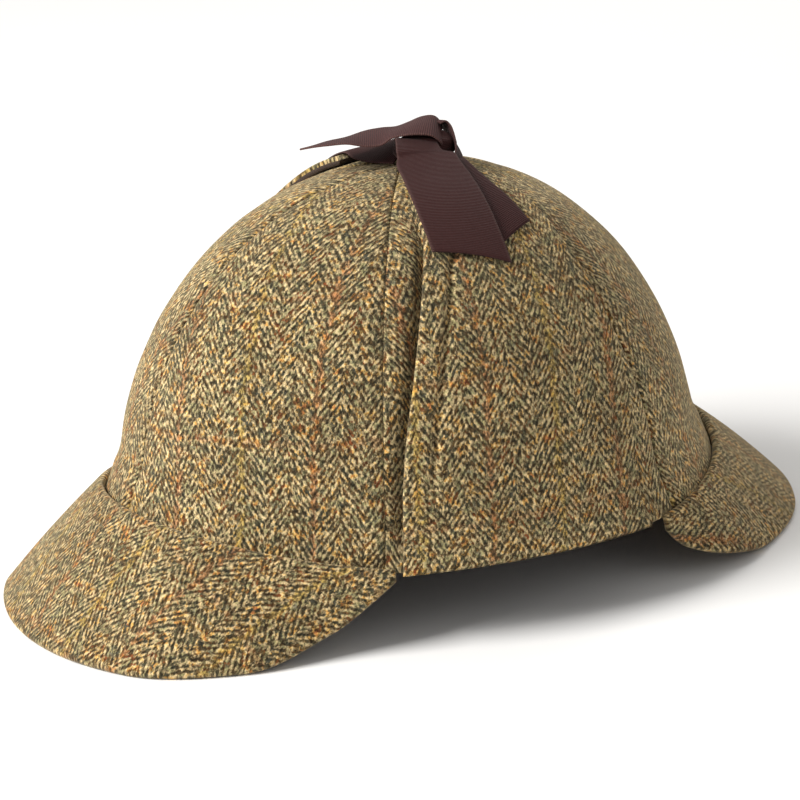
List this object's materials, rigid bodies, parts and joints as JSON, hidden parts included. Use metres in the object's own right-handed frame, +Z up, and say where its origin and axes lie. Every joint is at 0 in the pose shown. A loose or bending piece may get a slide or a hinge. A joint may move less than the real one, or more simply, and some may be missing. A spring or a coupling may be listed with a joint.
{
  "type": "deerstalker hat",
  "caption": "Tweed deerstalker hat with a panelled dome crown, a brim front and back, and ear flaps turned up and tied over the top with a flat ribbon.",
  "frame": {"origin": "on the surface that the hat stands on, under the middle of its outline", "axes": "+Z up, -Y towards the front brim, +X towards the wearer's left"},
  "size_m": [0.1854, 0.28, 0.1424],
  "materials": {
    "crown_tweed": "herringbone wool tweed, matte, lightly fuzzy",
    "brim_tweed": "herringbone wool tweed over a stiff core, matte",
    "flap_tweed": "herringbone wool tweed, turned and topstitched edge",
    "ribbon_grosgrain": "ribbed grosgrain ribbon, low sheen"
  },
  "bodies": {
    "root": {"crown_front_left": "crown_tweed", "crown_side_left": "crown_tweed", "crown_back_left": "crown_tweed", "crown_back_right": "crown_tweed", "crown_side_right": "crown_tweed", "crown_front_right": "crown_tweed", "front_brim": "brim_tweed", "back_brim": "brim_tweed", "ear_flap_left": "flap_tweed", "ear_flap_right": "flap_tweed", "ribbon_right_lead": "ribbon_grosgrain", "ribbon_left_lead": "ribbon_grosgrain", "ribbon_front_tail": "ribbon_grosgrain", "ribbon_back_tail": "ribbon_grosgrain", "ribbon_band": "ribbon_grosgrain", "ribbon_knot": "ribbon_grosgrain"}
  },
  "joints": []
}
